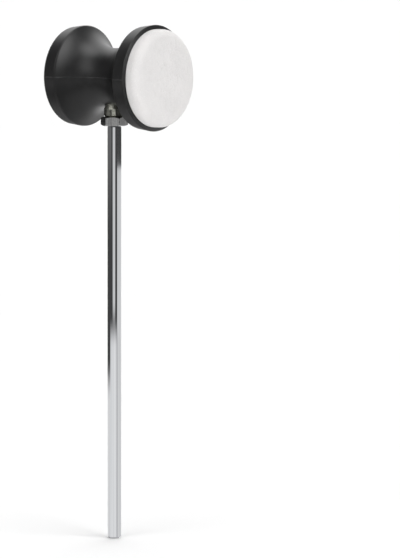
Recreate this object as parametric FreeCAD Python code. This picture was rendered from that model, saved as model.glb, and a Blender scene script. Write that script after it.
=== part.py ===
import FreeCAD, Part
import math
import os

# A bass drum beater: a spool-shaped head with a felt face and a hard face, carried on a straight rod.
# Millimetres. Z runs up the rod, the felt faces -Y, and the origin is where a clamp grips the rod.
# Sizes ending in _s lie along the striking axis, counted from the rod's centre line.

# Rod
rod_d = 6.35
rod_below_clamp = 20.0
tip_chamfer = 0.8
thread_d = 5.5
thread_engaged = 16.0
thread_below_nut = 0.5
thread_runout = 0.4
thread_end_chamfer = 0.9

# Head placing
head_axis_z = 194.0
collar_reach = 18.15

# Moulded spool
neck_d = 26.2
waist_radius = 19.4
waist_s = 0.45
front_corner_d = 46.6
front_corner_radius = 0.5
rim_edge_s = 23.9
rim_edge_d = 48.3
rim_edge_radius = 0.3
lip_s = 24.4
lip_land = 0.3
lip_radius = 0.15
recess_depth = 2.6
recess_floor_radius = 0.3
rear_corner_d = 46.4
rear_corner_radius = 1.0
rear_draft_angle = 6.5
rear_apex_s = 25.0
rear_crown = 0.8
rear_edge_radius = 2.0

# Felt disc and its bond
felt_d = 44.4
felt_thickness = 8.6
felt_crown = 0.5
felt_edge_radius = 3.4
felt_back_radius = 0.5
felt_gap = 0.1
bond_thickness = 0.3
bond_margin = 0.8

# Threaded insert
collar_d = 9.6
collar_length = 5.3
collar_chamfer = 0.6
collar_shoulder = 1.8
insert_neck_d = 8.0
insert_neck_length = 7.7
knurl_d = 11.2
knurl_depth = 0.45
knurl_teeth = 24
bore_relief = 1.5
drill_point_angle = 118.0
insert_end_wall = 3.0

# Lock nut
nut_across_flats = 11.11
nut_height = 4.2
nut_face_d = 10.6
nut_chamfer_angle = 30.0
nut_corner_radius = 0.3
nut_flat_angle = 90.0

# Fits
thread_clearance = 0.05
thread_countersink = 0.5
jam_gap = 0.05

# Heights and sizes that follow from those above
collar_face_z = head_axis_z - collar_reach
nut_top_z = collar_face_z - jam_gap
nut_bottom_z = nut_top_z - nut_height
rod_top_z = collar_face_z + thread_engaged
bore_r = thread_d / 2 + thread_clearance
bore_top_z = rod_top_z + bore_relief
drill_point = bore_r / math.tan(math.radians(drill_point_angle / 2))
recess_floor_s = lip_s - recess_depth
recess_r = felt_d / 2 + felt_gap
felt_back_s = recess_floor_s + bond_thickness

rod_axis = FreeCAD.Vector(0, 0, 1)
strike_axis = FreeCAD.Vector(0, -1, 0)
origin = FreeCAD.Vector(0, 0, 0)


def head_point(s, r):
    return FreeCAD.Vector(0, -s, head_axis_z + r)


def rod_point(r, z):
    return FreeCAD.Vector(r, 0, z)


# A run of straight sides with rounded corners; each corner is a point and its radius, 0 for a sharp one.
def outline(corners):
    marks = []
    for i, (point, radius) in enumerate(corners):
        if radius == 0:
            marks.append([point])
            continue
        back = (corners[i - 1][0] - point).normalize()
        ahead = (corners[i + 1][0] - point).normalize()
        half = back.getAngle(ahead) / 2
        reach = radius / math.tan(half)
        depth = radius / math.sin(half) - radius
        middle = point + (back + ahead).normalize() * depth
        marks.append([point + back * reach, middle, point + ahead * reach])
    edges = []
    for here, following in zip(marks, marks[1:] + [None]):
        if len(here) > 1:
            edges.append(Part.Arc(*here).toShape())
        if following is not None:
            edges.append(Part.LineSegment(here[-1], following[0]).toShape())
    return edges


# A crowned round end of the head: from its apex on the axis, over a rounded edge that runs tangent
# into both, to a side that leans in from its far corner by the draft angle, in degrees.
# Returns the two arcs and the point where the side begins.
def crowned_end(apex_s, crown, edge_radius, corner_s, corner_r, draft_angle):
    way = math.copysign(1, apex_s)
    draft = math.radians(draft_angle)
    edge_s = abs(apex_s) - crown - edge_radius
    side_r = corner_r - (edge_s - abs(corner_s)) * math.tan(draft)
    edge_r = side_r - edge_radius / math.cos(draft)
    depth = crown + edge_radius
    crown_radius = (edge_r**2 + depth**2 - edge_radius**2) / (2 * crown)
    crown_s = abs(apex_s) - crown_radius
    meet = math.atan2(edge_r, edge_s - crown_s)

    def on_circle(centre_s, centre_r, radius, angle):
        return head_point(way * (centre_s + radius * math.cos(angle)), centre_r + radius * math.sin(angle))

    face = [on_circle(crown_s, 0, crown_radius, angle) for angle in (0, meet / 2, meet)]
    side = math.pi / 2 - draft
    edge = [on_circle(edge_s, edge_r, edge_radius, angle) for angle in (meet, (meet + side) / 2, side)]
    return [Part.Arc(*face).toShape(), Part.Arc(*edge).toShape()], edge[-1]


def revolved(edges, centre, axis):
    wire = Part.Wire(Part.sortEdges(edges)[0])
    return Part.Face(wire).revolve(centre, axis, 360)


def turned(corners):
    closed = corners + corners[:1]
    return revolved(outline([(rod_point(r, z), 0) for r, z in closed]), origin, rod_axis)


# Rod: plain from its chamfered tip up to the thread, which is drawn at its pitch diameter
# above a short tapered run-out.
def make_shaft():
    rod_r = rod_d / 2
    thread_r = thread_d / 2
    tip_z = -rod_below_clamp
    thread_z = nut_bottom_z - thread_below_nut
    return turned([
        (0, tip_z),
        (rod_r - tip_chamfer, tip_z),
        (rod_r, tip_z + tip_chamfer),
        (rod_r, thread_z),
        (thread_r, thread_z + thread_runout),
        (thread_r, rod_top_z - thread_end_chamfer),
        (thread_r - thread_end_chamfer, rod_top_z),
        (0, rod_top_z),
    ])


# Lock nut: hexagonal bar with slightly rounded corners, chamfered on both faces, with a countersunk bore.
def make_nut():
    corner_r = nut_across_flats / math.sqrt(3)
    face_r = nut_face_d / 2
    bevel = (corner_r - face_r) * math.tan(math.radians(nut_chamfer_angle))
    blank = turned([
        (0, nut_bottom_z),
        (face_r, nut_bottom_z),
        (corner_r, nut_bottom_z + bevel),
        (corner_r, nut_top_z - bevel),
        (face_r, nut_top_z),
        (0, nut_top_z),
    ])
    turns = [math.radians(nut_flat_angle + 30 + 60 * i) for i in range(7)]
    ring = [FreeCAD.Vector(corner_r * math.cos(t), corner_r * math.sin(t), nut_bottom_z) for t in turns]
    bar = Part.Face(Part.makePolygon(ring)).extrude(rod_axis * nut_height)
    corners = [edge for edge in bar.Edges if edge.BoundBox.ZLength > nut_height / 2]
    hexagon = bar.makeFillet(nut_corner_radius, corners)
    mouth_r = bore_r + thread_countersink
    bore = turned([
        (0, nut_bottom_z),
        (mouth_r, nut_bottom_z),
        (bore_r, nut_bottom_z + thread_countersink),
        (bore_r, nut_top_z - thread_countersink),
        (mouth_r, nut_top_z),
        (0, nut_top_z),
    ])
    return blank.common(hexagon).cut(bore)


# Outer form of the insert, which is also the room it takes in the moulding: a plain collar with a
# tapered shoulder, a neck that keeps it from pulling out, and a straight knurl that keeps it from turning.
def insert_form():
    collar_r = collar_d / 2
    neck_r = insert_neck_d / 2
    neck_z = collar_face_z + collar_length
    knurl_z = neck_z + insert_neck_length
    top_z = bore_top_z + drill_point + insert_end_wall
    stem = turned([
        (0, collar_face_z),
        (collar_r - collar_chamfer, collar_face_z),
        (collar_r, collar_face_z + collar_chamfer),
        (collar_r, neck_z - collar_shoulder),
        (neck_r, neck_z),
        (neck_r, knurl_z),
        (0, knurl_z),
    ])
    ring = []
    for i in range(2 * knurl_teeth + 1):
        angle = math.pi * i / knurl_teeth
        radius = knurl_d / 2 - knurl_depth * (i % 2)
        ring.append(FreeCAD.Vector(radius * math.cos(angle), radius * math.sin(angle), knurl_z))
    knurl = Part.Face(Part.makePolygon(ring)).extrude(rod_axis * (top_z - knurl_z))
    return stem.fuse(knurl).removeSplitter()


# Threaded insert: its form with a blind bore, countersunk at the mouth and ending in the drill's point.
def make_insert():
    bore = turned([
        (0, collar_face_z),
        (bore_r + thread_countersink, collar_face_z),
        (bore_r, collar_face_z + thread_countersink),
        (bore_r, bore_top_z),
        (0, bore_top_z + drill_point),
    ])
    return insert_form().cut(bore)


# Place along the striking axis, on the side given by way, where the waist has flared out to a radius.
def flare_s(way, corner_r):
    drop = neck_d / 2 + waist_radius - corner_r
    return waist_s + way * math.sqrt(waist_radius**2 - drop**2)


# Rounding between the waist's flare and a flange's straight side, which runs from their corner to a
# further point. Returns its ends on the flare and on the side, with its crest between them.
def flare_rounding(corner, further, radius):
    waist_centre = head_point(waist_s, neck_d / 2 + waist_radius)
    side = (further - corner).normalize()
    inward = side.cross(FreeCAD.Vector(math.copysign(1, side.y), 0, 0))
    start = corner + inward * radius - waist_centre
    along = start.dot(side)
    travel = math.sqrt(along**2 + (waist_radius + radius) ** 2 - start.dot(start)) - along
    centre = waist_centre + start + side * travel
    on_flare = waist_centre + (centre - waist_centre) * (waist_radius / (waist_radius + radius))
    on_side = corner + side * travel
    crest = centre + (on_flare + on_side - centre * 2).normalize() * radius
    return on_flare, crest, on_side


# Spool: one moulding, turned about the striking axis, with a waist of one radius, a recess for the
# felt in its bevelled front rim, a domed rear face, and the insert's room in the waist.
def make_spool():
    front_r = front_corner_d / 2
    rear_r = rear_corner_d / 2
    rear_s = flare_s(-1, rear_r)
    front_corner = head_point(flare_s(1, front_r), front_r)
    rim_edge = head_point(rim_edge_s, rim_edge_d / 2)
    rear, rear_side = crowned_end(
        -rear_apex_s, rear_crown, rear_edge_radius, rear_s, rear_r, rear_draft_angle
    )
    rear_rounding = flare_rounding(head_point(rear_s, rear_r), rear_side, rear_corner_radius)
    front_rounding = flare_rounding(front_corner, rim_edge, front_corner_radius)
    waist = [
        Part.LineSegment(rear_side, rear_rounding[2]).toShape(),
        Part.Arc(*rear_rounding).toShape(),
        Part.Arc(rear_rounding[0], head_point(waist_s, neck_d / 2), front_rounding[0]).toShape(),
        Part.Arc(*front_rounding).toShape(),
    ]
    front = outline([
        (front_rounding[2], 0),
        (rim_edge, rim_edge_radius),
        (head_point(lip_s, recess_r + lip_land), lip_radius),
        (head_point(lip_s, recess_r), 0),
        (head_point(recess_floor_s, recess_r), recess_floor_radius),
        (head_point(recess_floor_s, 0), 0),
        (head_point(-rear_apex_s, 0), 0),
    ])
    blank = revolved(rear + waist + front, head_point(0, 0), strike_axis)
    return blank.cut(insert_form())


# Bond: a thin round film on the recess floor.
def make_bond():
    radius = felt_d / 2 - bond_margin
    return Part.makeCylinder(radius, bond_thickness, head_point(recess_floor_s, 0), strike_axis)


# Felt disc: flat at the back, crowned in front, with a well rounded striking edge.
def make_felt():
    felt_r = felt_d / 2
    front, front_side = crowned_end(
        felt_back_s + felt_thickness, felt_crown, felt_edge_radius, felt_back_s, felt_r, 0
    )
    back = outline([
        (front_side, 0),
        (head_point(felt_back_s, felt_r), felt_back_radius),
        (head_point(felt_back_s, 0), 0),
        (head_point(felt_back_s + felt_thickness, 0), 0),
    ])
    return revolved(front + back, head_point(0, 0), strike_axis)


pieces = {
    "beater_shaft": make_shaft,
    "lock_nut": make_nut,
    "threaded_insert": make_insert,
    "head_spool": make_spool,
    "felt_adhesive": make_bond,
    "felt_disc": make_felt,
}

os.makedirs("parts", exist_ok=True)
for node, make in pieces.items():
    solid = make()
    solid.exportStep("parts/" + node + ".step")
    print(node, "volume", round(solid.Volume, 1), "valid", solid.isValid(), "solids", len(solid.Solids))
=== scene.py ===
import math
import random

import bmesh
import bpy
from mathutils import Matrix, Vector, noise
from mathutils.bvhtree import BVHTree


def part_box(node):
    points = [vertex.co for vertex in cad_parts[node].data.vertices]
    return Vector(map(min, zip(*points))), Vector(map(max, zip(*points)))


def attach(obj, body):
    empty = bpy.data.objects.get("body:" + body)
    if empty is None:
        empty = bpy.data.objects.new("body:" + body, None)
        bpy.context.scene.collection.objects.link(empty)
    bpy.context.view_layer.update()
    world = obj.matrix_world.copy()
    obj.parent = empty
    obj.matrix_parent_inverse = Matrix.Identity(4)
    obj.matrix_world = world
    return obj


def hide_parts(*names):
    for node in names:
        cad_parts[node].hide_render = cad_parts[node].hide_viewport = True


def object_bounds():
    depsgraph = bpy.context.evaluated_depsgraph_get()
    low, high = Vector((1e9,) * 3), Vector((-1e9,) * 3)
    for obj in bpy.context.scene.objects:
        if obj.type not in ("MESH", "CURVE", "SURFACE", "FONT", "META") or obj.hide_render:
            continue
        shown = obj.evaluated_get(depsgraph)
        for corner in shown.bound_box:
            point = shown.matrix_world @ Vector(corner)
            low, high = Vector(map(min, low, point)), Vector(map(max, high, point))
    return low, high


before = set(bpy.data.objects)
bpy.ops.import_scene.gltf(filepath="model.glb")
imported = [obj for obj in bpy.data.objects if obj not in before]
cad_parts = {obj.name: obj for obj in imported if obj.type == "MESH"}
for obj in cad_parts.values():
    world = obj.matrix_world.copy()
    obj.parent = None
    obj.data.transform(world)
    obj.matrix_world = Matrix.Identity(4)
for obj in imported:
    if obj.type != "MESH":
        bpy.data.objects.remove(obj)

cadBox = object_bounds()
spoolLow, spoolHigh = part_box("head_spool")
spoolCentre = (spoolLow + spoolHigh) / 2
mm = 0.001


class Wire:  # one socket of a node tree, so that maths on it reads as plain Python
    def __init__(self, tree, socket=None):
        self.tree = tree
        self.socket = socket

    def add(self, nodeType, settings=None, sockets=None, pick=0):  # pick is the output that is handed on
        node = self.tree.nodes.new(nodeType)
        for name, value in (settings or {}).items():
            setattr(node, name, value)
        for name, value in (sockets or {}).items():
            if isinstance(value, Wire):
                self.tree.links.new(value.socket, node.inputs[name])
            else:
                node.inputs[name].default_value = value
        return Wire(self.tree, node.outputs[pick])

    def maths(self, operation, first, second=0.0):
        return self.add("ShaderNodeMath", {"operation": operation}, {0: first, 1: second})

    def __add__(self, other):
        return self.maths("ADD", self, other)

    def __radd__(self, other):
        return self.maths("ADD", other, self)

    def __sub__(self, other):
        return self.maths("SUBTRACT", self, other)

    def __rsub__(self, other):
        return self.maths("SUBTRACT", other, self)

    def __mul__(self, other):
        return self.maths("MULTIPLY", self, other)

    def __rmul__(self, other):
        return self.maths("MULTIPLY", other, self)

    def larger(self, other):
        return self.maths("MAXIMUM", self, other)

    def rise(self, low, high):  # 0 below low, 1 above high, smooth between
        ends = {"From Min": low, "From Max": high}
        return self.add("ShaderNodeMapRange", {"interpolation_type": "SMOOTHSTEP"}, {"Value": self, **ends})

    def within(self, low, high, softLow, softHigh):  # 1 between low and high, with soft ends
        return self.rise(low - softLow, low + softLow) * (1 - self.rise(high - softHigh, high + softHigh))

    def tint(self, dark, light):  # a colour that runs from dark to light as this value runs from 0 to 1
        ends = {"Factor": self, 6: (*dark, 1), 7: (*light, 1)}  # 6 and 7 take the two colours
        return self.add("ShaderNodeMix", {"data_type": "RGBA"}, ends, pick=2)

    def along(self, axis):  # the X, Y or Z of this vector
        return self.add("ShaderNodeSeparateXYZ", {}, {0: self}, pick=axis)

    def vectors(self, operation, second=(0, 0, 0), pick="Vector"):
        return self.add("ShaderNodeVectorMath", {"operation": operation}, {0: self, 1: second}, pick)

    def stretched(self, scale, turn=(0, 0, 0)):  # this vector turned and scaled
        return self.add("ShaderNodeMapping", {}, {"Vector": self, "Scale": scale, "Rotation": turn})

    def grain(self, scale, detail=2.0, roughness=0.5, distortion=0.0):
        look = {"Scale": scale, "Detail": detail, "Roughness": roughness, "Distortion": distortion}
        return self.add("ShaderNodeTexNoise", {}, {"Vector": self, **look})

    def bumped(self, strength, depth, normal=None):  # over the given normal, or else the surface's own
        sockets = {"Height": self, "Strength": strength, "Distance": depth}
        if normal:
            sockets["Normal"] = normal
        return self.add("ShaderNodeBump", {}, sockets)


def newFinish(name, fixed):  # a material whose even values are set on its shader
    material = bpy.data.materials.new(name)
    material.use_nodes = True
    tree = material.node_tree
    shader = tree.nodes["Principled BSDF"]
    for socket, value in fixed.items():
        shader.inputs[socket].default_value = value
    place = Wire(tree).add("ShaderNodeTexCoord", pick="Object")
    return material, shader, place


def feed(shader, **links):  # baseColor goes to the socket Base Color, and so on
    sockets = {"baseColor": "Base Color", "roughness": "Roughness", "normal": "Normal"}
    for name, wire in links.items():
        wire.tree.links.new(wire.socket, shader.inputs[sockets[name]])


def wear(node, material):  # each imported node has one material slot
    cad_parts[node].material_slots[0].material = material


def newPiece(name, bm, material, smooth=True):
    mesh = bpy.data.meshes.new(name)
    bmesh.ops.recalc_face_normals(bm, faces=bm.faces)
    bm.to_mesh(mesh)
    bm.free()
    for face in mesh.polygons:
        face.use_smooth = smooth
    mesh.materials.append(material)
    piece = bpy.data.objects.new(name, mesh)
    bpy.context.scene.collection.objects.link(piece)
    return piece


def skin(bm, here, ahead):  # faces between two rings of as many points
    for k in range(len(here)):
        m = (k + 1) % len(here)
        bm.faces.new((here[k], here[m], ahead[m], ahead[k]))


# Rod: bright chrome plate over drawn stock
rod = {
    "color": (0.61, 0.617, 0.63),
    "streak": (0.55, 0.56, 0.577),
    "streakBand": (0.35, 0.7),
    "drawn": (1400, 1400, 5),  # grains in a metre across the rod and along it
    "roughness": 0.02,
    "haze": 0.03,  # roughness that hazy patches add
    "hazeBand": (0.45, 0.75),
    "hazePatches": (60, 60, 14),
    "marks": 0.02,
    "markDepth": 0.02 * mm,
}


def chromeFinish():
    material, shader, place = newFinish("chromed_steel", {"Metallic": 1.0})
    drawn = place.stretched(rod["drawn"]).grain(1, detail=3)
    haze = place.stretched(rod["hazePatches"]).grain(1, detail=4)
    feed(
        shader,
        baseColor=drawn.rise(*rod["streakBand"]).tint(rod["color"], rod["streak"]),
        roughness=rod["roughness"] + rod["haze"] * haze.rise(*rod["hazeBand"]),
        normal=drawn.bumped(rod["marks"], rod["markDepth"]),
    )
    return material


wear("beater_shaft", chromeFinish())
print("rod dressed")


# Lock nut: plated hex bar, with the marks of drawing along its flats
nut = {
    "color": (0.50, 0.50, 0.495),
    "streak": (0.34, 0.34, 0.34),
    "streakBand": (0.35, 0.65),
    "drawn": (1500, 1500, 60),
    "roughness": 0.2,
    "cloud": 0.08,  # roughness that dull patches add
    "cloudPatches": 300,
    "marks": 0.3,
    "markDepth": 0.03 * mm,
}


def nutFinish():
    material, shader, place = newFinish("nut_steel", {"Metallic": 1.0})
    drawn = place.stretched(nut["drawn"]).grain(1, detail=3, roughness=0.6)
    cloud = place.grain(nut["cloudPatches"], detail=3)
    feed(
        shader,
        baseColor=drawn.rise(*nut["streakBand"]).tint(nut["color"], nut["streak"]),
        roughness=nut["roughness"] + nut["cloud"] * cloud,
        normal=drawn.bumped(nut["marks"], nut["markDepth"]),
    )
    return material


wear("lock_nut", nutFinish())
print("nut dressed")


# Insert collar: turned and nickel plated, a little warm
insert = {
    "color": (0.57, 0.57, 0.50),
    "ring": (0.44, 0.44, 0.385),
    "ringBand": (0.35, 0.7),
    "turned": (40, 40, 2600),
    "roughness": 0.1,
    "ringCut": 0.06,  # roughness that the turned rings add
    "shoulder": 3.5 * mm,  # above the collar's lower face
    "shoulderFade": 0.1 * mm,
    "shoulderCut": 0.3,  # roughness that its coarser cut adds
    "marks": 0.1,
    "markDepth": 0.03 * mm,
}


def insertFinish():
    material, shader, place = newFinish("nickelled_insert", {"Metallic": 1.0})
    rings = place.stretched(insert["turned"]).grain(1, detail=3)
    foot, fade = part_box("threaded_insert")[0].z + insert["shoulder"], insert["shoulderFade"]
    shoulder = place.along("Z").rise(foot - fade, foot + fade)
    feed(
        shader,
        baseColor=rings.rise(*insert["ringBand"]).tint(insert["color"], insert["ring"]),
        roughness=insert["roughness"] + insert["ringCut"] * rings + insert["shoulderCut"] * shoulder,
        normal=rings.bumped(insert["marks"], insert["markDepth"]),
    )
    return material


wear("threaded_insert", insertFinish())
print("insert dressed")


# Spool: satin black moulding
spool = {
    "color": (0.0062, 0.0062, 0.0065),
    "scuff": (0.011, 0.011, 0.0115),
    "scuffBand": (0.4, 0.8),
    "roughness": 0.36,
    "flow": 0.1,  # roughness that the moulding's flow adds
    "flowPatches": 140,
    "flowHeight": 0.6,  # beside the satin grain's
    "satin": 2600,  # grains in a metre
    "marks": 0.08,
    "markDepth": 0.05 * mm,
    "rearDome": 266.2 * mm,  # radius of the hard face
    "domeEven": (6 * mm, 9 * mm),  # from its middle, where its facets meet in a point
}


def domeNormal(place):  # about the middle of the hard face, a normal that follows the dome and not its facets
    apex = Vector((0, spoolHigh.y, spoolCentre.z))
    out = place.vectors("SUBTRACT", apex - Vector((0, spool["rearDome"], 0))).vectors("NORMALIZE")
    toWorld = {"vector_type": "NORMAL", "convert_from": "OBJECT", "convert_to": "WORLD"}
    dome = out.add("ShaderNodeVectorTransform", toWorld, {0: out})
    away = place.vectors("DISTANCE", apex, pick="Value").rise(*spool["domeEven"])
    own = place.add("ShaderNodeNewGeometry", pick="Normal")
    ends = {"Factor": away, 4: dome, 5: own}  # 4 and 5 take the two vectors
    return away.add("ShaderNodeMix", {"data_type": "VECTOR"}, ends, pick=1)


def mouldedFinish():
    material, shader, place = newFinish("black_moulding", {"Specular IOR Level": 0.5})
    satin = place.grain(spool["satin"])
    flow = place.grain(spool["flowPatches"], detail=4, roughness=0.55)
    height = satin + spool["flowHeight"] * flow
    feed(
        shader,
        baseColor=flow.rise(*spool["scuffBand"]).tint(spool["color"], spool["scuff"]),
        roughness=spool["roughness"] + spool["flow"] * flow,
        normal=height.bumped(spool["marks"], spool["markDepth"], domeNormal(place)),
    )
    return material


wear("head_spool", mouldedFinish())
print("spool dressed")


# Mould line: the fine bead where the two halves of the mould met, on both sides of the spool
bead = {
    "width": 0.5 * mm,
    "height": 0.15 * mm,
    "sunk": 0.05 * mm,
    "start": 0.012,  # as shares of the spool's length, from the front rim
    "run": 0.93,
    "stations": 160,
    "section": ((-0.5, -1), (-0.28, 0.45), (0, 1), (0.28, 0.45), (0.5, -1)),  # shares of width and rise
    "paintedHighlight": (0.034, 0.034, 0.035),  # painted highlight, along the stretches where the bead catches the light
    "highlightStretches": ((-25 * mm, -17 * mm), (-7 * mm, 4.6 * mm), (14.5 * mm, 24 * mm)),  # along the striking axis
    "highlightFade": 0.8 * mm,
    "highlightStretchRoughness": 0.2,  # roughness added along the same stretches
    "dashes": 500,  # dashes in a metre, which break up the painted highlight
    "dashBand": (0.2, 0.6),
}


def beadHighlightFinish():
    material, shader, place = newFinish("bead_highlight_moulding", {"Specular IOR Level": 0.5})
    # the bead is painted paler in three stretches along the striking axis, broken into dashes: a painted
    # highlight
    along, fade = place.along("Y"), bead["highlightFade"]
    stretches = [along.within(*ends, fade, fade) for ends in bead["highlightStretches"]]
    dashed = place.stretched((0, bead["dashes"], 0)).grain(1).rise(*bead["dashBand"])
    highlightStretches = sum(stretches[1:], stretches[0]) * dashed
    feed(
        shader,
        baseColor=highlightStretches.tint(spool["color"], bead["paintedHighlight"]),
        roughness=spool["roughness"] + bead["highlightStretchRoughness"] * highlightStretches,
    )
    return material


def mouldBead(name, side, material):
    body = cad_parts["head_spool"]
    bm = bmesh.new()
    rings = []
    for i in range(bead["stations"] + 1):
        share = bead["start"] + bead["run"] * i / bead["stations"]
        outside = Vector((side, spoolLow.y + (spoolHigh.y - spoolLow.y) * share, spoolCentre.z))
        foot, normal = body.ray_cast(outside, Vector((-side, 0, 0)))[1:3]
        out = Vector((normal.x, normal.y, 0)).normalized()
        ring = []
        for across, up in bead["section"]:
            rise = bead["height"] * up if up > 0 else bead["sunk"] * up
            ring.append(bm.verts.new(foot + out * rise + Vector((0, 0, bead["width"] * across))))
        rings.append(ring)
    for here, ahead in zip(rings, rings[1:]):
        skin(bm, here, ahead)
    bm.faces.new(rings[0])
    bm.faces.new(rings[-1][::-1])
    return newPiece(name, bm, material)


# both beads wear the painted highlight
paintedBeadHighlight = beadHighlightFinish()
for side, name in ((-1, "mould_line_near"), (1, "mould_line_far")):
    line = mouldBead(name, side, paintedBeadHighlight)
    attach(line, "head")
print("mould lines laid")


# Bond: a thin film of adhesive behind the felt
bond = {
    "color": (0.42, 0.36, 0.24),
    "thin": (0.56, 0.5, 0.38),
    "smear": (400, 400, 120),
    "roughness": 0.45,
    "smeared": 0.25,  # roughness that the smears add
    "marks": 0.3,
    "markDepth": 0.05 * mm,
}


def bondFinish():
    material, shader, place = newFinish("bond_film", {"Specular IOR Level": 0.4})
    smear = place.stretched(bond["smear"]).grain(1, detail=3)
    feed(
        shader,
        baseColor=smear.tint(bond["color"], bond["thin"]),
        roughness=bond["roughness"] + bond["smeared"] * smear,
        normal=smear.bumped(bond["marks"], bond["markDepth"]),
    )
    return material


wear("felt_adhesive", bondFinish())
print("bond dressed")


# Felt disc: dense pressed felt, crowned, with a rounded striking edge
felt = {
    "crown": 0.5 * mm,
    "edgeRadius": 3.4 * mm,
    "backRadius": 0.5 * mm,
    "edgeSteps": 14,
    "wallSteps": 7,
    "backSteps": 4,
    "seated": 2.6 * mm,  # how deep it sits in the rim
    "fade": 0.6 * mm,  # over which its unevenness begins above the rim
    "cells": 88,  # across the face; four times as many round the edge
    "lump": 0.035 * mm,
    "lumpSize": 2.4 * mm,
    "fineShare": 0.6,  # of the lump, in finer grain
    "fineness": 2.6,
    "tuft": 0.045 * mm,  # round the edge, where the felt was cut
    "tuftSize": 1.2 * mm,
    "edgeWave": 0.10 * mm,
    "waveSize": 7.7 * mm,
    "waveDrop": 0.25,  # keeps most of the wave inside the disc's radius
    "shade": (0.66, 0.647, 0.642),
    "light": (0.715, 0.70, 0.695),
    "lightBand": (0.35, 0.75),
    "strandTurns": (0.3, 1.35, 2.4),  # fibres lie every way in the plane of the disc
    "strands": (700, 1600, 5200),
    "strandShare": 0.5,  # of the paler tint
    "mottle": 110,
    "mottleShare": 0.6,
    "nap": 900,
    "napHeight": 0.7,  # beside the strands'
    "marks": 0.5,
    "markDepth": 0.12 * mm,
}


def feltProfile(radius, thickness):  # (radius, depth behind the apex), from the face's flat to the back
    crown, edge, back = felt["crown"], felt["edgeRadius"], felt["backRadius"]
    reach = radius - edge
    dome = (reach**2 + (crown + edge) ** 2 - edge**2) / (2 * crown)
    meet = math.atan2(reach, dome - crown - edge)
    points = []
    for i in range(1, felt["edgeSteps"] + 1):
        a = meet + (math.pi / 2 - meet) * i / felt["edgeSteps"]
        points.append((reach + edge * math.sin(a), crown + edge - edge * math.cos(a)))
    for i in range(1, felt["wallSteps"] + 1):
        points.append((radius, crown + edge + (thickness - back - crown - edge) * i / felt["wallSteps"]))
    for i in range(1, felt["backSteps"] + 1):
        a = math.pi / 2 * i / felt["backSteps"]
        points.append((radius - back + back * math.cos(a), thickness - back + back * math.sin(a)))
    return dome, dome * math.sin(meet), points


def onDisc(a, b):  # a square from -1 to 1 laid out as a round disc, evenly
    if a == 0 and b == 0:
        return 0.0, 0.0
    if abs(a) > abs(b):
        turn = math.pi / 4 * b / a
        return a * math.cos(turn), a * math.sin(turn)
    turn = math.pi / 2 - math.pi / 4 * a / b
    return b * math.cos(turn), b * math.sin(turn)


def unevenNap(bm, front, free):  # on the depth of felt, behind its front, that stands free of the rim
    for vert in bm.verts:
        clear = max(0.0, min(1.0, (free - (vert.co.y - front)) / felt["fade"]))
        at = vert.co / felt["lumpSize"]
        lump = noise.noise(at) + felt["fineShare"] * noise.noise(at * felt["fineness"])
        wave = noise.noise(vert.co / felt["waveSize"]) - felt["waveDrop"]
        tuft = noise.noise(vert.co / felt["tuftSize"])
        side = max(0.0, 1 - abs(vert.normal.y))
        edge = side * (felt["edgeWave"] * wave + felt["tuft"] * tuft)
        vert.co += vert.normal * clear * (felt["lump"] * lump + edge)


def feltDisc(material):
    low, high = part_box("felt_disc")
    centre = Vector((0, low.y, (low.z + high.z) / 2))
    radius, thickness = (high.x - low.x) / 2, high.y - low.y
    dome, flat, profile = feltProfile(radius, thickness)
    inner = profile[-1][0]
    n = felt["cells"]
    bm = bmesh.new()

    def spot(x, z, depth):
        return bm.verts.new(centre + Vector((x, depth, z)))

    face, back = {}, {}
    for i in range(n + 1):
        for j in range(n + 1):
            u, v = onDisc(2 * i / n - 1, 2 * j / n - 1)
            r = flat * math.hypot(u, v)
            face[i, j] = spot(u * flat, v * flat, dome - math.sqrt(dome**2 - r**2))
            back[i, j] = spot(u * inner, v * inner, thickness)
    border = [(i, 0) for i in range(n)] + [(n, j) for j in range(n)]
    border += [(i, n) for i in range(n, 0, -1)] + [(0, j) for j in range(n, 0, -1)]
    ways = [onDisc(2 * i / n - 1, 2 * j / n - 1) for i, j in border]
    rings = [[face[key] for key in border]]
    for r, depth in profile[:-1]:
        rings.append([spot(u * r, v * r, depth) for u, v in ways])
    rings.append([back[key] for key in border])
    for i in range(n):
        for j in range(n):
            for grid in (face, back):
                bm.faces.new((grid[i, j], grid[i + 1, j], grid[i + 1, j + 1], grid[i, j + 1]))
    for here, ahead in zip(rings, rings[1:]):
        skin(bm, here, ahead)
    bm.normal_update()
    bmesh.ops.recalc_face_normals(bm, faces=bm.faces)
    bm.normal_update()
    unevenNap(bm, low.y, thickness - felt["seated"])
    return newPiece("felt_face", bm, material)


def feltFinish(name, shade, light):
    fixed = {"Roughness": 0.95, "Sheen Weight": 0.25, "Sheen Roughness": 0.6, "Specular IOR Level": 0.2}
    material, shader, place = newFinish(name, fixed)
    strands = []
    for turn in felt["strandTurns"]:
        strands.append(place.stretched(felt["strands"], (0, turn, 0)).grain(1, distortion=0.6))
    strand = strands[0].larger(strands[1]).larger(strands[2])
    nap = place.grain(felt["nap"], detail=3, roughness=0.6)
    mottle = place.grain(felt["mottle"], detail=3)
    paintedHighlight = felt["mottleShare"] * mottle + felt["strandShare"] * strand
    height = strand + felt["napHeight"] * nap
    feed(
        shader,
        baseColor=paintedHighlight.rise(*felt["lightBand"]).tint(shade, light),
        normal=height.bumped(felt["marks"], felt["markDepth"]),
    )
    return material


feltFace = feltDisc(feltFinish("white_felt", felt["shade"], felt["light"]))
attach(feltFace, "head")
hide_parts("felt_disc")
print("felt made:", len(feltFace.data.vertices), "points")


# Single fibres that have come out of the nap and lie on it
fibre = {
    "count": 2600,
    "length": (0.9 * mm, 3.2 * mm),
    "radius": 0.012 * mm,
    "lift": 0.035 * mm,  # at the middle of its length
    "sunk": 0.02 * mm,  # at its ends
    "steps": 9,
    "bend": 0.28,
    "seed": 11,
    # shade and light here are paler than the felt's own: painted light that offsets the shade the fibres
    # throw on themselves and the nap
    "shade": (0.80, 0.79, 0.785),
    "light": (0.88, 0.87, 0.865),
}


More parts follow.
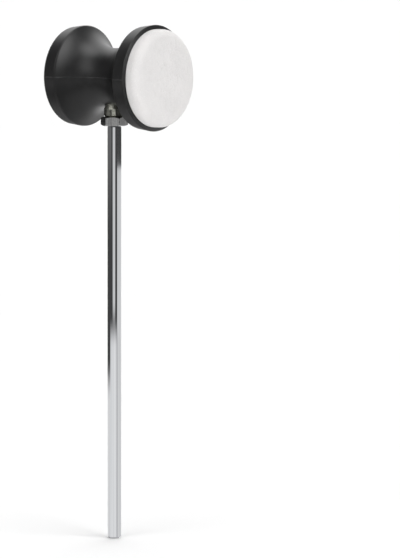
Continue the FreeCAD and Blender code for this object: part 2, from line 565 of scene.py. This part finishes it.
def fibrePath(nap, foot, deepest, pick):  # places along one fibre, with the nap's normal there
    step = pick.uniform(*fibre["length"]) / fibre["steps"]
    way = Vector([pick.uniform(-1, 1) for axis in range(3)])
    bend = pick.uniform(-fibre["bend"], fibre["bend"])
    at, path = foot, []
    for i in range(fibre["steps"] + 1):
        spot, normal = nap.find_nearest(at)[:2]
        if spot.y > deepest:
            break
        arch = (fibre["lift"] + fibre["sunk"]) * math.sin(math.pi * i / fibre["steps"]) - fibre["sunk"]
        path.append((spot + normal * arch, normal))
        way = (way - normal * way.dot(normal)).normalized()
        way = (way + normal.cross(way) * bend).normalized()
        at = spot + way * step
    return path


def feltFibres(felted, material):
    pick = random.Random(fibre["seed"])
    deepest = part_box("felt_disc")[1].y - felt["seated"]
    source = bmesh.new()
    source.from_mesh(felted.data)
    nap = BVHTree.FromBMesh(source)
    feet = [vert.co.copy() for vert in source.verts]
    source.free()
    bm = bmesh.new()
    for i in range(fibre["count"]):
        path = fibrePath(nap, pick.choice(feet), deepest, pick)
        rings = []
        for (here, normal), following in zip(path, path[1:]):
            side = (following[0] - here).cross(normal).normalized() * fibre["radius"]
            crest = normal * fibre["radius"] * 2
            rings.append([bm.verts.new(here + offset) for offset in (side, -side, crest)])
        for here, ahead in zip(rings, rings[1:]):
            skin(bm, here, ahead)
        if len(rings) > 1:
            bm.faces.new(rings[0])
            bm.faces.new(rings[-1][::-1])
    bmesh.ops.delete(bm, geom=[vert for vert in bm.verts if not vert.link_faces], context="VERTS")
    return newPiece("felt_fibres", bm, material)


# the fibres wear a paler copy of the felt's finish, painted light against their own shade
feltFuzz = feltFibres(feltFace, feltFinish("felt_fibre", fibre["shade"], fibre["light"]))
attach(feltFuzz, "head")
print("fibres laid:", len(feltFuzz.data.vertices), "points")


# Camera, placed from the head's centre
photo = {"high": 558, "focal": 3053.6, "sensor": 36.0}  # pixels, and the sensor's longer side in mm
view = {
    "distance": 1.4,
    "azimuth": -51.037,
    "elevation": 2.517,
    "yaw": 1.615,  # the camera's own turns, from looking level along its azimuth
    "tilt": 6.302,
    "roll": 0.178,
}


def cameraAxes():
    azimuth, yaw, tilt, roll = (math.radians(view[k]) for k in ("azimuth", "yaw", "tilt", "roll"))
    up = Vector((0, 0, 1))
    away = Vector((-math.sin(azimuth), math.cos(azimuth), 0))
    right = Vector((math.cos(azimuth), math.sin(azimuth), 0))
    ahead = away * math.cos(yaw) + right * math.sin(yaw)
    across = right * math.cos(yaw) - away * math.sin(yaw)
    look = ahead * math.cos(tilt) - up * math.sin(tilt)
    rise = up * math.cos(tilt) + ahead * math.sin(tilt)
    rolledRight = across * math.cos(roll) + rise * math.sin(roll)
    rolledUp = rise * math.cos(roll) - across * math.sin(roll)
    return rolledRight, rolledUp, look


def placeCamera():
    head = Vector((0, 0, spoolCentre.z))
    azimuth, elevation = math.radians(view["azimuth"]), math.radians(view["elevation"])
    level = math.cos(elevation)
    back = Vector((math.sin(azimuth) * level, -math.cos(azimuth) * level, math.sin(elevation)))
    right, up, look = cameraAxes()
    lens = bpy.data.cameras.new("photo_view")
    lens.sensor_width = photo["sensor"]
    lens.lens = photo["focal"] * photo["sensor"] / photo["high"]
    camera = bpy.data.objects.new("photo_view", lens)
    turn = Matrix((right, up, -look)).transposed().to_4x4()
    camera.matrix_world = Matrix.Translation(head + back * view["distance"]) @ turn
    bpy.context.scene.collection.objects.link(camera)
    bpy.context.scene.camera = camera


placeCamera()
print("camera placed")


# Floor, at the foot of the rod
floor = {"half": 40.0, "color": (0.84, 0.84, 0.84), "shade": (0.83, 0.83, 0.83), "mottle": 3}


def floorFinish():
    material, shader, place = newFinish("pale_floor", {"Roughness": 0.9, "Specular IOR Level": 0.1})
    feed(shader, baseColor=place.grain(floor["mottle"], detail=3).tint(floor["color"], floor["shade"]))
    return material


def layFloor():
    bm = bmesh.new()
    half, level = floor["half"], cadBox[0].z
    corners = ((-half, -half), (half, -half), (half, half), (-half, half))
    bm.faces.new([bm.verts.new((x, y, level)) for x, y in corners])
    ground = newPiece("floor", bm, floorFinish(), smooth=False)
    ground.visible_glossy = False


layFloor()
print("floor laid")


# Studio light. Two softboxes stand close to the felt, placed from the head's centre.
softboxes = [
    {"name": "felt_softbox", "from": (0, -0.24, 0.25), "size": 0.2, "power": 0.03},
    {"name": "felt_fill", "from": (-0.2, -0.1, -0.1), "size": 0.12, "power": 0.09},
]

# Lamps and panels round the beater, in degrees: heading is 0 towards the camera and grows to its right,
# height is 0 at the horizon. Each has a brightness, and soft ends: across, at its foot and at its top.
# The two flags take light away, below what the photo's view mirrors, so that the rod has dark lines
# from all sides.
panels = [
    {"name": "overhead", "height": (71, 100), "soft": (0, 9, 9), "level": 3.6},
    {"name": "left lamp", "heading": (-62, -24), "height": (14, 62), "soft": (6, 6, 6), "level": 1.9},
    {"name": "right lamp", "heading": (28, 76), "height": (14, 50), "soft": (7, 7, 7), "level": 4.2},
    {"name": "left wall", "heading": (-200, -52), "height": (-4.6, 30), "soft": (2, 1.2, 1.2), "level": 0.12},
    {"name": "back wall, right", "heading": (136, 200), "height": (4, 68), "soft": (9, 7, 7), "level": 1.6},
    {"name": "back wall, left", "heading": (-200, -142), "height": (14, 66), "soft": (9, 9, 9), "level": 1.4},
    {"name": "side wall", "heading": (98, 150), "height": (-44, -20), "soft": (4, 4, 4), "level": 0.8},
    {"name": "table behind", "heading": (160, 200), "height": (-46, -18), "soft": (6, 6, 6), "level": 1.4},
    {"name": "table below", "height": (-100, -36), "soft": (0, 8, 8), "level": 0.6},
    {"name": "table beside", "heading": (50, 200), "height": (-36, -16), "soft": (10, 5, 5), "level": 0.35},
    {"name": "table beyond", "heading": (-200, -148), "height": (-36, -16), "soft": (8, 5, 5), "level": 0.35},
    {"name": "table left", "heading": (-200, -72), "height": (-16, -8.2), "soft": (6, 5, 0.4), "level": 0.95},
    {"name": "table ahead", "heading": (-72, 40), "height": (-16, -7.3), "soft": (6, 5, 0.3), "level": 1.05},
    {"name": "table right", "heading": (47, 200), "height": (-16, -4.2), "soft": (3, 5, 0.07), "level": 0.88},
    {"name": "strip", "heading": (-29, 13), "height": (-7.0, -3.0), "soft": (2, 0.3, 0.3), "level": 0.8},
    {"name": "left flag", "heading": (-168, -138), "height": (-30, -12.2), "soft": (5, 4, 1), "level": -0.8},
    {"name": "right flag", "heading": (44, 72), "height": (-30, -12.2), "soft": (5, 4, 1), "level": -0.8},
]
ambient = 0.08
backdrop = 0.985  # what the camera sees past the floor


def studioWorld():
    world = bpy.data.worlds.new("studio")
    bpy.context.scene.world = world
    world.use_nodes = True
    tree = world.node_tree
    azimuth = math.radians(view["azimuth"])
    way = Wire(tree).add("ShaderNodeTexCoord", pick="Generated")
    toCamera = way.vectors("DOT_PRODUCT", (math.sin(azimuth), -math.cos(azimuth), 0), pick="Value")
    toRight = way.vectors("DOT_PRODUCT", (math.cos(azimuth), math.sin(azimuth), 0), pick="Value")
    heading = way.maths("ARCTAN2", toRight, toCamera) * math.degrees(1)
    height = way.maths("ARCSINE", way.along("Z")) * math.degrees(1)

    level = ambient
    for panel in panels:
        across, foot, top = panel["soft"]
        share = height.within(*panel["height"], foot, top)
        if "heading" in panel:
            share = share * heading.within(*panel["heading"], across, across)
        level = level + panel["level"] * share
    seen = way.add("ShaderNodeLightPath", pick="Is Camera Ray")
    level = level.larger(0.0) * (1 - seen) + backdrop * seen
    background = tree.nodes["Background"]
    background.inputs["Color"].default_value = (1, 1, 1, 1)
    tree.links.new(level.socket, background.inputs["Strength"])


def hangSoftbox(box):
    light = bpy.data.lights.new(box["name"], "AREA")
    light.size = box["size"]
    light.energy = box["power"]
    lamp = bpy.data.objects.new(box["name"], light)
    lamp.location = spoolCentre + Vector(box["from"])
    lamp.rotation_euler = (spoolCentre - lamp.location).to_track_quat("-Z", "Y").to_euler()
    lamp.visible_glossy = False
    bpy.context.scene.collection.objects.link(lamp)


studioWorld()
for box in softboxes:
    hangSoftbox(box)
bpy.context.scene.view_settings.view_transform = "Standard"
print("light set")
